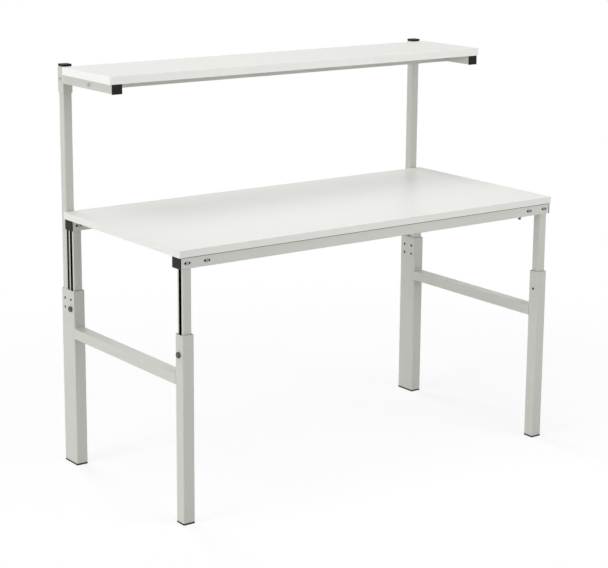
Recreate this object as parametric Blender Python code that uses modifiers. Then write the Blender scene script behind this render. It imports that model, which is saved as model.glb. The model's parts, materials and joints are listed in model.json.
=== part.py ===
# Height-adjustable antistatic workbench with a shelf on two uprights.
# Metres, +Z up. The origin is under the middle of the whole bench, at floor level.
# The front faces -Y, and the left side is at -X.

import math

import bmesh
import bpy
from mathutils import Matrix, Vector

# Worktop
WORKTOP_LENGTH = 1.500
WORKTOP_DEPTH = 0.700
WORKTOP_THICKNESS = 0.022
WORKTOP_HEIGHT = 0.855
WORKTOP_EDGE_ROUND = 0.0015

# Steel tube
TUBE_WALL = 0.002
TUBE_CORNER = 0.0025
CLEARANCE = 0.0003

# Lower legs, fixed to each other by a cross bar on each side
LEG_TOP = 0.596
LEG_SIDE_INSET = 0.009
LEG_EDGE_INSET = 0.001
CROSS_BAR_HEIGHT = 0.035
CROSS_BAR_TOP = 0.471

# Foot plugs
FOOT_HEIGHT = 0.006
FOOT_PLUG_HEIGHT = 0.016
FOOT_EDGE_ROUND = 0.0015

# Inner legs: slotted channels that slide in the lower legs
INNER_LEG_WIDTH = 0.030
INNER_LEG_LENGTH = 0.595
INNER_LEG_SLOT = 0.015
INNER_LEG_CORNER = 0.002

# Glide sleeves between the lower and the inner legs
GLIDE_WALL = 0.0024
GLIDE_HEIGHT = 0.090
GLIDE_SINK = 0.002

# Leg clamps: a hexagon bolt and a plate in the channel of each inner leg
CLAMP_FROM_LEG_TOP = 0.062
HOLE_PITCH = 0.031
HOLE_DIAMETER = 0.009
CLAMP_BOLT_DIAMETER = 0.0096
CLAMP_BOLT_LENGTH = 0.020
CLAMP_HEAD_WIDTH = 0.017
CLAMP_HEAD_HEIGHT = 0.0065
CLAMP_HEAD_CHAMFER = 0.0008
CLAMP_PLATE_THICKNESS = 0.006
CLAMP_PLATE_PLAY = 0.001
CLAMP_PLATE_HEIGHT = 0.030

# Beams under the worktop
BEAM_HEIGHT = 0.035
BEAM_DEPTH = 0.045
BEAM_SETBACK = 0.0028
BEAM_CAP_SETBACK = 0.0035
BEAM_CAP_THICKNESS = 0.0035
BEAM_CAP_LEG_GAP = 0.0017

# Plastic caps in general
CAP_ROUND = 0.001
PLUG_WALL = 0.0015

# Head plate welded to each inner leg, inside the beam
HEAD_PLATE_MARGIN = 0.018
HEAD_PLATE_PLAY = 0.0015
HEAD_PLATE_THICKNESS = 0.003
WELD_NUT_DIAMETER = 0.014
WELD_NUT_LENGTH = 0.0065
BEAM_SCREW_SPACING = 0.069
BEAM_SCREW_SLOT = 0.014
BEAM_SCREW_DIAMETER = 0.0076
BEAM_SCREW_HEAD_DIAMETER = 0.012
BEAM_SCREW_HEAD_HEIGHT = 0.0024
BEAM_SOCKET_DEPTH = 0.0016
BUTTON_HEAD_DIAMETER = 0.013
BUTTON_HEAD_HEIGHT = 0.0045
BUTTON_SOCKET_WIDTH = 0.005
BUTTON_SOCKET_DEPTH = 0.0028

# Grounding stud under the front beam
STUD_FROM_END = 0.132
STUD_FROM_BEAM_FRONT = 0.0105
STUD_BASE_DIAMETER = 0.012
STUD_BASE_THICKNESS = 0.0012
STUD_DIAMETER = 0.010
STUD_NECK_DIAMETER = 0.0085
STUD_NECK_HEIGHT = 0.002
STUD_HEIGHT = 0.006
STUD_RIVET_DIAMETER = 0.004
STUD_RIVET_HEAD_DIAMETER = 0.0075
STUD_RIVET_HEAD_HEIGHT = 0.0012

# Uprights behind the worktop, standing in the rear pockets of the rear legs
UPRIGHT_LENGTH = 0.905
UPRIGHT_SINK = 0.176
UPRIGHT_PLAY = 0.004
UPRIGHT_CAP_THICKNESS = 0.0075
UPRIGHT_CAP_LIP = 0.0012
UPRIGHT_CAP_PLUG = 0.014
UPRIGHT_SCREW_SINK = 0.0006
UPRIGHT_SCREW_LENGTH = 0.010
UPRIGHT_SCREW_SOCKET_WIDTH = 0.004
UPRIGHT_SCREW_SOCKET_DEPTH = 0.004

# Shelf
SHELF_DEPTH = 0.300
SHELF_THICKNESS = 0.025
SHELF_RISE = 0.0013
SHELF_EDGE_ROUND = 0.0015
SHELF_REAR_GAP = 0.011
COLLAR_HEIGHT = 0.082
COLLAR_DROP = 0.0025
COLLAR_WALL = 0.0022
ARM_WIDTH = 0.034
ARM_HEIGHT = 0.030
ARM_CAP_THICKNESS = 0.004
ARM_CAP_LIP = 0.001
ARM_CAP_PLUG = 0.012
ARM_END_PLATE = 0.003
ARM_WELD = 0.001
SHELF_BEAM_DEPTH = 0.040
SHELF_BEAM_FROM_FRONT = 0.122
SHELF_BEAM_END_PLATE = 0.004
SHELF_SCREW_DIAMETER = 0.0076
SHELF_SCREW_REACH = 0.010
COLLAR_SCREW_DIAMETER = 0.0056
COLLAR_SCREW_HEAD_DIAMETER = 0.010
COLLAR_SCREW_HEAD_HEIGHT = 0.0035
COLLAR_SCREW_DROP = 0.037

# Modelling
OVERRUN = 0.002
WELD_DEPTH = 0.0005
MERGE_DISTANCE = 0.00001
CORNER_SEGMENTS = 3
EDGE_SEGMENTS = 2
ROUND_SEGMENTS = 16
HEAD_ROUND_STEPS = 3
HEXAGON_SIDES = 6
SHARP_ANGLE = math.radians(40)

# Sizes and places that the sizes above give
LEG_WIDTH = INNER_LEG_WIDTH + 2 * (GLIDE_WALL + TUBE_WALL + 2 * CLEARANCE)
UPRIGHT_WIDTH = INNER_LEG_WIDTH
REAR_LEG_DEPTH = LEG_WIDTH + UPRIGHT_WIDTH + TUBE_WALL + 2 * UPRIGHT_PLAY
FRONT_Y = -(WORKTOP_DEPTH + REAR_LEG_DEPTH - LEG_WIDTH - LEG_EDGE_INSET) / 2
WORKTOP_REAR_Y = FRONT_Y + WORKTOP_DEPTH
LEG_CENTRE_X = WORKTOP_LENGTH / 2 - LEG_SIDE_INSET - LEG_WIDTH / 2
LEG_OUTER_X = LEG_CENTRE_X + LEG_WIDTH / 2
LEG_INNER_X = LEG_CENTRE_X - LEG_WIDTH / 2
FRONT_LEG_Y = FRONT_Y + LEG_EDGE_INSET + LEG_WIDTH / 2
REAR_LEG_FRONT_Y = WORKTOP_REAR_Y - LEG_EDGE_INSET - LEG_WIDTH
REAR_POCKET_Y = REAR_LEG_FRONT_Y + LEG_WIDTH / 2
REAR_LEG_REAR_Y = REAR_LEG_FRONT_Y + REAR_LEG_DEPTH
REAR_LEG_Y = REAR_LEG_FRONT_Y + REAR_LEG_DEPTH / 2
LEG_LENGTH = LEG_TOP - FOOT_HEIGHT - CLEARANCE
LEG_MIDDLE_Z = LEG_TOP - LEG_LENGTH / 2
CLAMP_HEIGHT = LEG_TOP - CLAMP_FROM_LEG_TOP
UPPER_HOLE_HEIGHT = CLAMP_HEIGHT + HOLE_PITCH
DIVIDER_REAR_Y = REAR_LEG_FRONT_Y + LEG_WIDTH
DIVIDER_FRONT_Y = DIVIDER_REAR_Y - TUBE_WALL
UPRIGHT_X = LEG_OUTER_X - TUBE_WALL - CLEARANCE - UPRIGHT_WIDTH / 2
UPRIGHT_Y = (DIVIDER_REAR_Y + REAR_LEG_REAR_Y - TUBE_WALL) / 2
UPRIGHT_TOP = LEG_TOP - UPRIGHT_SINK + UPRIGHT_LENGTH
UPRIGHT_SCREW_DIAMETER = HOLE_DIAMETER - 2 * CLEARANCE
CLAMP_PLATE_WIDTH = INNER_LEG_WIDTH - 2 * TUBE_WALL - 2 * CLAMP_PLATE_PLAY
WORKTOP_UNDERSIDE = WORKTOP_HEIGHT - WORKTOP_THICKNESS
BEAM_TOP = WORKTOP_UNDERSIDE - CLEARANCE
BEAM_BOTTOM = BEAM_TOP - BEAM_HEIGHT
BEAM_MIDDLE_Z = BEAM_TOP - BEAM_HEIGHT / 2
FRONT_BEAM_Y = FRONT_Y + BEAM_SETBACK + BEAM_DEPTH / 2
REAR_BEAM_Y = WORKTOP_REAR_Y - BEAM_SETBACK - BEAM_DEPTH / 2
BEAM_END_X = WORKTOP_LENGTH / 2 - BEAM_CAP_SETBACK - BEAM_CAP_THICKNESS - CLEARANCE
BEAM_CAP_PLUG = BEAM_END_X - LEG_CENTRE_X - INNER_LEG_WIDTH / 2 - BEAM_CAP_LEG_GAP
HEAD_PLATE_LENGTH = INNER_LEG_WIDTH / 2 - INNER_LEG_CORNER + BEAM_SCREW_SPACING + HEAD_PLATE_MARGIN
HEAD_PLATE_HEIGHT = BEAM_HEIGHT - 2 * TUBE_WALL - 2 * HEAD_PLATE_PLAY
INNER_LEG_TOP = BEAM_TOP - TUBE_WALL - CLEARANCE
SHELF_LENGTH = WORKTOP_LENGTH
SHELF_TOP = UPRIGHT_TOP + SHELF_RISE
COLLAR_TOP = UPRIGHT_TOP - COLLAR_DROP
COLLAR_WIDTH = UPRIGHT_WIDTH + 2 * CLEARANCE + 2 * COLLAR_WALL
COLLAR_FRONT_Y = UPRIGHT_Y - COLLAR_WIDTH / 2
COLLAR_OUTER_X = UPRIGHT_X + COLLAR_WIDTH / 2
SHELF_REAR_Y = COLLAR_FRONT_Y - SHELF_REAR_GAP
SHELF_FRONT_Y = SHELF_REAR_Y - SHELF_DEPTH
SHELF_UNDERSIDE = SHELF_TOP - SHELF_THICKNESS
ARM_TOP = SHELF_UNDERSIDE - CLEARANCE
ARM_MIDDLE_Z = ARM_TOP - ARM_HEIGHT / 2
ARM_FRONT_Y = SHELF_FRONT_Y + ARM_CAP_THICKNESS + CLEARANCE
SHELF_BEAM_Y = SHELF_FRONT_Y + SHELF_BEAM_FROM_FRONT + SHELF_BEAM_DEPTH / 2

SIDES = (("left", -1), ("right", 1))
AXES = "XYZ"


def clear_scene():
    for thing in list(bpy.data.objects):
        bpy.data.objects.remove(thing, do_unlink=True)


def make_material(name, colour, roughness, metallic=0.0):
    material = bpy.data.materials.new(name)
    material.use_nodes = True
    shader = material.node_tree.nodes["Principled BSDF"]
    shader.inputs["Base Color"].default_value = (*colour, 1.0)
    shader.inputs["Roughness"].default_value = roughness
    shader.inputs["Metallic"].default_value = metallic
    material.diffuse_color = (*colour, 1.0)
    return material


def make_collection(name):
    collection = bpy.data.collections.new(name)
    bpy.context.scene.collection.children.link(collection)
    return collection


clear_scene()
bench = make_collection("antistatic_workbench")
cutters = make_collection("cutters")
laminate = make_material("laminate", (0.80, 0.81, 0.79), 0.45)
coated_steel = make_material("coated_steel", (0.66, 0.67, 0.64), 0.5)
black_plastic = make_material("black_plastic", (0.015, 0.016, 0.016), 0.55)
zinc = make_material("zinc", (0.62, 0.62, 0.60), 0.35, 1.0)


def make_empty(name, place):
    empty = bpy.data.objects.new(name, None)
    empty.location = place
    bench.objects.link(empty)
    return empty


# The worktop with its beams and inner legs moves up and down on one empty, the shelf on another.
frame_root = make_empty("base_frame", (0, 0, 0))
table_root = make_empty("worktop_lift", (0, 0, WORKTOP_UNDERSIDE))
shelf_root = make_empty("shelf_lift", (0, UPRIGHT_Y, COLLAR_TOP))


def finish(name, shape, centre, material, parent):
    """Make the object from a bmesh whose own origin is the piece's centre."""
    mesh = bpy.data.meshes.new(name)
    shape.to_mesh(mesh)
    shape.free()
    piece = bpy.data.objects.new(name, mesh)
    if material is None:
        cutters.objects.link(piece)
        piece.hide_render = True
        piece.display_type = "WIRE"
        piece.location = centre
        return piece
    bench.objects.link(piece)
    mesh.materials.append(material)
    piece.parent = parent
    piece.location = Vector(centre) - parent.location
    return piece


def shade_round(mesh):
    mesh.shade_smooth()
    mesh.set_sharp_from_angle(angle=SHARP_ANGLE)


def block_shape(size, along=None, corner=0.0, all_edges=0.0):
    """A box about its own centre, with rounded corners along one axis or on every edge."""
    shape = bmesh.new()
    bmesh.ops.create_cube(shape, size=1.0)
    bmesh.ops.scale(shape, vec=size, verts=shape.verts)
    edges = []
    radius = corner
    segments = CORNER_SEGMENTS
    if along is not None and corner > 0:
        axis = AXES.index(along)
        edges = [e for e in shape.edges if abs((e.verts[0].co - e.verts[1].co)[axis]) > size[axis] / 2]
    if all_edges > 0:
        edges = list(shape.edges)
        radius = all_edges
        segments = EDGE_SEGMENTS
    if edges:
        bmesh.ops.bevel(
            shape, geom=edges, offset=radius, segments=segments, profile=0.5, affect="EDGES", material=-1
        )
    return shape


def block(name, centre, size, material=None, parent=None, along=None, corner=0.0, all_edges=0.0):
    return finish(name, block_shape(size, along, corner, all_edges), centre, material, parent)


def turn_to(along):
    """The rotation that lays a Z-axis shape along another axis."""
    if along == "X":
        return Matrix.Rotation(math.pi / 2, 3, "Y")
    if along == "Y":
        return Matrix.Rotation(-math.pi / 2, 3, "X")
    return Matrix.Identity(3)


def rod(name, centre, diameter, length, along, stretch=0.0):
    """A round cutter, or a slot where stretch draws it out along X."""
    shape = bmesh.new()
    radius = diameter / 2
    bmesh.ops.create_cone(
        shape, cap_ends=True, segments=ROUND_SEGMENTS, radius1=radius, radius2=radius, depth=length
    )
    bmesh.ops.rotate(shape, cent=(0, 0, 0), matrix=turn_to(along), verts=shape.verts)
    if stretch > 0:
        right = [v for v in shape.verts if v.co.x > MERGE_DISTANCE]
        left = [v for v in shape.verts if v.co.x < -MERGE_DISTANCE]
        bmesh.ops.translate(shape, vec=(stretch / 2, 0, 0), verts=right)
        bmesh.ops.translate(shape, vec=(-stretch / 2, 0, 0), verts=left)
    tool = finish(name, shape, centre, None, None)
    shade_round(tool.data)
    return tool


def boolean(piece, tool, operation):
    modifier = piece.modifiers.new(tool.name, "BOOLEAN")
    modifier.operation = operation
    modifier.solver = "EXACT"
    modifier.object = tool


def cut(piece, tool):
    boolean(piece, tool, "DIFFERENCE")


def fuse(piece, tool):
    boolean(piece, tool, "UNION")


def turned(name, profile, centre, direction, material, parent):
    """A turned piece: radius and height pairs, from the top of its axis down, its top facing direction."""
    mesh = bpy.data.meshes.new(name)
    shape = bmesh.new()
    points = [shape.verts.new((radius, 0, height)) for radius, height in profile]
    for upper, lower in zip(points, points[1:]):
        shape.edges.new((upper, lower))
    shape.to_mesh(mesh)
    shape.free()
    mesh.materials.append(material)
    piece = bpy.data.objects.new(name, mesh)
    bench.objects.link(piece)
    screw = piece.modifiers.new("turn", "SCREW")
    screw.steps = ROUND_SEGMENTS
    screw.render_steps = ROUND_SEGMENTS
    screw.use_merge_vertices = True
    screw.merge_threshold = MERGE_DISTANCE
    bpy.context.view_layer.update()
    evaluated = piece.evaluated_get(bpy.context.evaluated_depsgraph_get())
    turned_mesh = bpy.data.meshes.new_from_object(evaluated)
    piece.modifiers.clear()
    piece.data = turned_mesh
    shade_round(turned_mesh)
    bpy.data.meshes.remove(mesh)
    turned_mesh.name = name
    piece.parent = parent
    piece.location = Vector(centre) - parent.location
    piece.rotation_euler = Vector(direction).to_track_quat("Z", "Y").to_euler()
    return piece


def socket(piece, name, centre, direction, width, depth):
    """A hexagon socket sunk into the top of a screw."""
    shape = bmesh.new()
    bmesh.ops.create_cone(
        shape,
        cap_ends=True,
        segments=HEXAGON_SIDES,
        radius1=across_corners(width) / 2,
        radius2=across_corners(width) / 2,
        depth=2 * depth,
    )
    tool = finish(name, shape, centre, None, None)
    tool.rotation_euler = Vector(direction).to_track_quat("Z", "Y").to_euler()
    cut(piece, tool)


def across_corners(across_flats):
    return across_flats / math.cos(math.pi / HEXAGON_SIDES)


def button_profile(head_diameter, head_height, shank_diameter, length):
    """A domed head above zero and a shank below it."""
    dome = []
    for step in range(HEAD_ROUND_STEPS + 1):
        angle = math.pi / 2 * step / HEAD_ROUND_STEPS
        dome.append((head_diameter / 2 * (1 + math.sin(angle)) / 2, head_height * (1 + math.cos(angle)) / 2))
    return [
        (0, head_height),
        *dome,
        (head_diameter / 2, 0),
        (shank_diameter / 2, 0),
        (shank_diameter / 2, -length),
        (0, -length),
    ]


def tube(name, centre, size, along, material, parent, wall=TUBE_WALL, corner=TUBE_CORNER):
    """A square or oblong tube that is open at both ends."""
    piece = block(name, centre, size, material, parent, along=along, corner=corner)
    bore = [extent - 2 * wall for extent in size]
    axis = AXES.index(along)
    bore[axis] = size[axis] + 2 * OVERRUN
    cut(piece, block(name + "_bore", centre, bore, along=along, corner=corner - wall / 2))
    return piece


def plug(name, centre, size, direction, inside, material, parent):
    """A plastic cap with a hollow shank in a tube's end.

    direction points out of the tube; inside is the tube's bore, and along direction the shank's length.
    """
    axis = [abs(part) for part in direction].index(1)
    sign = direction[axis]
    thickness = size[axis]
    depth = inside[axis]
    piece = block(name, centre, size, material, parent, all_edges=CAP_ROUND)
    shank = [extent - 2 * CLEARANCE for extent in inside]
    shank[axis] = depth + thickness / 2
    shank_centre = Vector(centre)
    shank_centre[axis] -= sign * (thickness / 2 + depth) / 2
    fuse(piece, block(name + "_shank", shank_centre, shank, along=AXES[axis], corner=TUBE_CORNER / 2))
    hollow = [extent - 2 * PLUG_WALL for extent in shank]
    hollow[axis] = depth + OVERRUN
    hollow_centre = Vector(centre)
    hollow_centre[axis] -= sign * (thickness + depth + OVERRUN) / 2
    cut(piece, block(name + "_hollow", hollow_centre, hollow))
    return piece


def wall_hole(piece, name, centre_x, centre_y, centre_z, diameter=HOLE_DIAMETER):
    """A hole through one wall, along X."""
    cut(piece, rod(name, (centre_x, centre_y, centre_z), diameter, 2 * TUBE_WALL + 2 * CLEARANCE, "X"))


def build_lower_legs(side, sign):
    bolt_hole = CLAMP_BOLT_DIAMETER + 2 * CLEARANCE
    outer_wall_x = sign * (LEG_OUTER_X - TUBE_WALL / 2)
    inner_wall_x = sign * (LEG_INNER_X + TUBE_WALL / 2)

    front = tube(
        f"front_leg_{side}",
        (sign * LEG_CENTRE_X, FRONT_LEG_Y, LEG_MIDDLE_Z),
        (LEG_WIDTH, LEG_WIDTH, LEG_LENGTH),
        "Z",
        coated_steel,
        frame_root,
    )
    wall_hole(front, f"front_bolt_hole_{side}", outer_wall_x, FRONT_LEG_Y, CLAMP_HEIGHT, bolt_hole)
    wall_hole(front, f"front_inner_hole_{side}", inner_wall_x, FRONT_LEG_Y, CLAMP_HEIGHT)

    # The rear leg is one deep tube with a wall across it: table leg in front, upright behind.
    rear = block(
        f"rear_leg_{side}",
        (sign * LEG_CENTRE_X, REAR_LEG_Y, LEG_MIDDLE_Z),
        (LEG_WIDTH, REAR_LEG_DEPTH, LEG_LENGTH),
        coated_steel,
        frame_root,
        along="Z",
        corner=TUBE_CORNER,
    )
    pocket_width = LEG_WIDTH - 2 * TUBE_WALL
    pocket_length = LEG_LENGTH + 2 * OVERRUN
    pockets = (
        ("front", REAR_LEG_FRONT_Y + TUBE_WALL, DIVIDER_FRONT_Y),
        ("rear", DIVIDER_REAR_Y, REAR_LEG_REAR_Y - TUBE_WALL),
    )
    for pocket, start_y, end_y in pockets:
        tool = block(
            f"{pocket}_pocket_{side}",
            (sign * LEG_CENTRE_X, (start_y + end_y) / 2, LEG_MIDDLE_Z),
            (pocket_width, end_y - start_y, pocket_length),
            along="Z",
            corner=TUBE_CORNER - TUBE_WALL / 2,
        )
        cut(rear, tool)
    wall_hole(rear, f"rear_bolt_hole_{side}", outer_wall_x, REAR_POCKET_Y, CLAMP_HEIGHT, bolt_hole)
    wall_hole(rear, f"rear_spare_hole_{side}", outer_wall_x, REAR_POCKET_Y, UPPER_HOLE_HEIGHT)
    wall_hole(rear, f"upright_screw_hole_{side}", outer_wall_x, UPRIGHT_Y, CLAMP_HEIGHT)
    wall_hole(rear, f"upright_spare_hole_{side}", outer_wall_x, UPRIGHT_Y, UPPER_HOLE_HEIGHT)
    for row, height in (("low", CLAMP_HEIGHT), ("high", UPPER_HOLE_HEIGHT)):
        wall_hole(rear, f"rear_inner_hole_{row}_{side}", inner_wall_x, REAR_POCKET_Y, height)
        wall_hole(rear, f"upright_inner_hole_{row}_{side}", inner_wall_x, UPRIGHT_Y, height)

    bar_front_y = FRONT_LEG_Y + LEG_WIDTH / 2 + CLEARANCE
    bar_rear_y = REAR_LEG_FRONT_Y - CLEARANCE
    tube(
        f"cross_bar_{side}",
        (sign * LEG_CENTRE_X, (bar_front_y + bar_rear_y) / 2, CROSS_BAR_TOP - CROSS_BAR_HEIGHT / 2),
        (LEG_WIDTH, bar_rear_y - bar_front_y, CROSS_BAR_HEIGHT),
        "Y",
        coated_steel,
        frame_root,
    )


def build_feet(side, sign):
    for row, centre_y, depth in (("front", FRONT_LEG_Y, LEG_WIDTH), ("rear", REAR_LEG_Y, REAR_LEG_DEPTH)):
        name = f"{row}_foot_{side}"
        foot = block(
            name,
            (sign * LEG_CENTRE_X, centre_y, FOOT_HEIGHT / 2),
            (LEG_WIDTH, depth, FOOT_HEIGHT),
            black_plastic,
            frame_root,
            all_edges=FOOT_EDGE_ROUND,
        )
        bores = [(centre_y, depth - 2 * TUBE_WALL)]
        if row == "rear":
            front_bore = DIVIDER_FRONT_Y - REAR_LEG_FRONT_Y - TUBE_WALL
            rear_bore = REAR_LEG_REAR_Y - TUBE_WALL - DIVIDER_REAR_Y
            bores = [
                (DIVIDER_FRONT_Y - front_bore / 2, front_bore),
                (DIVIDER_REAR_Y + rear_bore / 2, rear_bore),
            ]
        for number, (bore_y, bore_depth) in enumerate(bores):
            width = LEG_WIDTH - 2 * TUBE_WALL - 2 * CLEARANCE
            inside_depth = bore_depth - 2 * CLEARANCE
            shank = block(
                f"{name}_shank_{number}",
                (sign * LEG_CENTRE_X, bore_y, (FOOT_HEIGHT / 2 + FOOT_HEIGHT + FOOT_PLUG_HEIGHT) / 2),
                (width, inside_depth, FOOT_HEIGHT / 2 + FOOT_PLUG_HEIGHT),
                along="Z",
                corner=TUBE_CORNER / 2,
            )
            hollow = block(
                f"{name}_hollow_{number}",
                (sign * LEG_CENTRE_X, bore_y, FOOT_HEIGHT + FOOT_PLUG_HEIGHT),
                (width - 2 * PLUG_WALL, inside_depth - 2 * PLUG_WALL, 2 * FOOT_PLUG_HEIGHT),
            )
            fuse(foot, shank)
            cut(foot, hollow)


def build_inner_leg(row, side, sign, leg_y, wall_y):
    """The slotted channel, its head plate and weld nuts; wall_y is the inside of the beam's front wall."""
    name = f"inner_leg_{row}_{side}"
    centre_x = sign * LEG_CENTRE_X
    middle_z = INNER_LEG_TOP - INNER_LEG_LENGTH / 2
    leg = tube(
        name,
        (centre_x, leg_y, middle_z),
        (INNER_LEG_WIDTH, INNER_LEG_WIDTH, INNER_LEG_LENGTH),
        "Z",
        coated_steel,
        table_root,
        corner=INNER_LEG_CORNER,
    )
    slot_x = sign * (LEG_CENTRE_X + INNER_LEG_WIDTH / 2 - TUBE_WALL / 2)
    slot_size = (TUBE_WALL + 2 * CLEARANCE, INNER_LEG_SLOT, INNER_LEG_LENGTH + 2 * OVERRUN)
    cut(leg, block(f"{name}_slot", (slot_x, leg_y, middle_z), slot_size))

    plate_front_y = leg_y - INNER_LEG_WIDTH / 2
    plate_start_x = LEG_CENTRE_X + INNER_LEG_WIDTH / 2 - INNER_LEG_CORNER
    plate_centre_x = sign * (plate_start_x - HEAD_PLATE_LENGTH / 2)
    plate_y = plate_front_y + HEAD_PLATE_THICKNESS / 2
    plate_size = (HEAD_PLATE_LENGTH, HEAD_PLATE_THICKNESS, HEAD_PLATE_HEIGHT)
    fuse(leg, block(f"{name}_head_plate", (plate_centre_x, plate_y, BEAM_MIDDLE_Z), plate_size))

    plate_rear_y = plate_front_y + HEAD_PLATE_THICKNESS
    nut_front_y = wall_y + CLEARANCE
    nut_rear_y = plate_rear_y + WELD_NUT_LENGTH
    nut_y = (nut_front_y + nut_rear_y) / 2
    nut_length = nut_rear_y - nut_front_y
    thread = BEAM_SCREW_DIAMETER + 2 * CLEARANCE
    screw_places = [sign * (LEG_CENTRE_X - spaces * BEAM_SCREW_SPACING) for spaces in (0, 1)]
    for number, screw_x in enumerate(screw_places, 1):
        nut_centre = (screw_x, nut_y, BEAM_MIDDLE_Z)
        fuse(leg, rod(f"{name}_nut_{number}", nut_centre, WELD_NUT_DIAMETER, nut_length, "Y"))
    for number, screw_x in enumerate(screw_places, 1):
        nut_centre = (screw_x, nut_y, BEAM_MIDDLE_Z)
        cut(leg, rod(f"{name}_thread_{number}", nut_centre, thread, nut_length + 2 * OVERRUN, "Y"))

    # The screws go in from the beam's front wall and reach past the nuts.
    head_y = wall_y - TUBE_WALL - CLEARANCE
    shank_length = nut_rear_y - head_y + WELD_DEPTH
    profile = button_profile(
        BEAM_SCREW_HEAD_DIAMETER, BEAM_SCREW_HEAD_HEIGHT, BEAM_SCREW_DIAMETER, shank_length
    )
    for number, screw_x in enumerate(screw_places, 1):
        screw_name = f"beam_screw_{row}_{side}_{number}"
        screw = turned(
            screw_name,
            profile,
            (screw_x, head_y, BEAM_MIDDLE_Z),
            (0, -1, 0),
            zinc,
            table_root,
        )
        socket(
            screw,
            f"{screw_name}_socket",
            (screw_x, head_y - BEAM_SCREW_HEAD_HEIGHT, BEAM_MIDDLE_Z),
            (0, -1, 0),
            BUTTON_SOCKET_WIDTH,
            BEAM_SOCKET_DEPTH,
        )


def build_glide(row, side, sign, leg_y):
    """Plastic sleeve at the mouth of a lower leg, bored for the clamp bolt."""
    outer_width = LEG_WIDTH - 2 * TUBE_WALL - 2 * CLEARANCE
    bore_width = INNER_LEG_WIDTH + 2 * CLEARANCE
    centre = (sign * LEG_CENTRE_X, leg_y, LEG_TOP - GLIDE_SINK - GLIDE_HEIGHT / 2)
    name = f"glide_{row}_{side}"
    sleeve = block(
        name,
        centre,
        (outer_width, outer_width, GLIDE_HEIGHT),
        black_plastic,
        frame_root,
        along="Z",
        corner=TUBE_CORNER / 2,
    )
    cut(sleeve, block(f"{name}_bore", centre, (bore_width, bore_width, GLIDE_HEIGHT + 2 * OVERRUN)))
    hole_x = sign * (LEG_CENTRE_X + (outer_width + bore_width) / 4)
    hole = rod(
        f"{name}_bolt_hole",
        (hole_x, leg_y, CLAMP_HEIGHT),
        CLAMP_BOLT_DIAMETER + 2 * CLEARANCE,
        outer_width - bore_width,
        "X",
    )
    cut(sleeve, hole)


def build_clamp(row, side, sign, leg_y):
    """Hexagon bolt through the outer wall and the channel's slot into a plate behind the slot's lips."""
    head_x = LEG_OUTER_X + CLEARANCE
    bolt_name = f"clamp_bolt_{row}_{side}"
    radius = across_corners(CLAMP_HEAD_WIDTH) / 2
    shape = bmesh.new()
    bmesh.ops.create_cone(
        shape, cap_ends=True, segments=HEXAGON_SIDES, radius1=radius, radius2=radius, depth=CLAMP_HEAD_HEIGHT
    )
    top = [e for e in shape.edges if min(v.co.z for v in e.verts) > 0]
    bmesh.ops.bevel(
        shape, geom=top, offset=CLAMP_HEAD_CHAMFER, segments=1, profile=0.5, affect="EDGES", material=-1
    )
    bmesh.ops.rotate(shape, cent=(0, 0, 0), matrix=turn_to("X"), verts=shape.verts)
    if sign < 0:
        bmesh.ops.rotate(shape, cent=(0, 0, 0), matrix=Matrix.Rotation(math.pi, 3, "Z"), verts=shape.verts)
    head_centre = (sign * (head_x + CLAMP_HEAD_HEIGHT / 2), leg_y, CLAMP_HEIGHT)
    bolt = finish(bolt_name, shape, head_centre, zinc, frame_root)
    shank_length = CLAMP_BOLT_LENGTH + WELD_DEPTH
    shank_centre = (sign * (head_x + WELD_DEPTH - shank_length / 2), leg_y, CLAMP_HEIGHT)
    fuse(bolt, rod(f"{bolt_name}_shank", shank_centre, CLAMP_BOLT_DIAMETER, shank_length, "X"))

    lip_inside_x = LEG_CENTRE_X + INNER_LEG_WIDTH / 2 - TUBE_WALL
    plate_name = f"clamp_plate_{row}_{side}"
    plate_centre = (sign * (lip_inside_x - CLEARANCE - CLAMP_PLATE_THICKNESS / 2), leg_y, CLAMP_HEIGHT)
    plate = block(
        plate_name,
        plate_centre,
        (CLAMP_PLATE_THICKNESS, CLAMP_PLATE_WIDTH, CLAMP_PLATE_HEIGHT),
        zinc,
        frame_root,
    )
    cut(
        plate,
        rod(
            f"{plate_name}_thread",
            plate_centre,
            CLAMP_BOLT_DIAMETER + 2 * CLEARANCE,
            CLAMP_PLATE_THICKNESS + 2 * OVERRUN,
            "X",
        ),
    )


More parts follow.
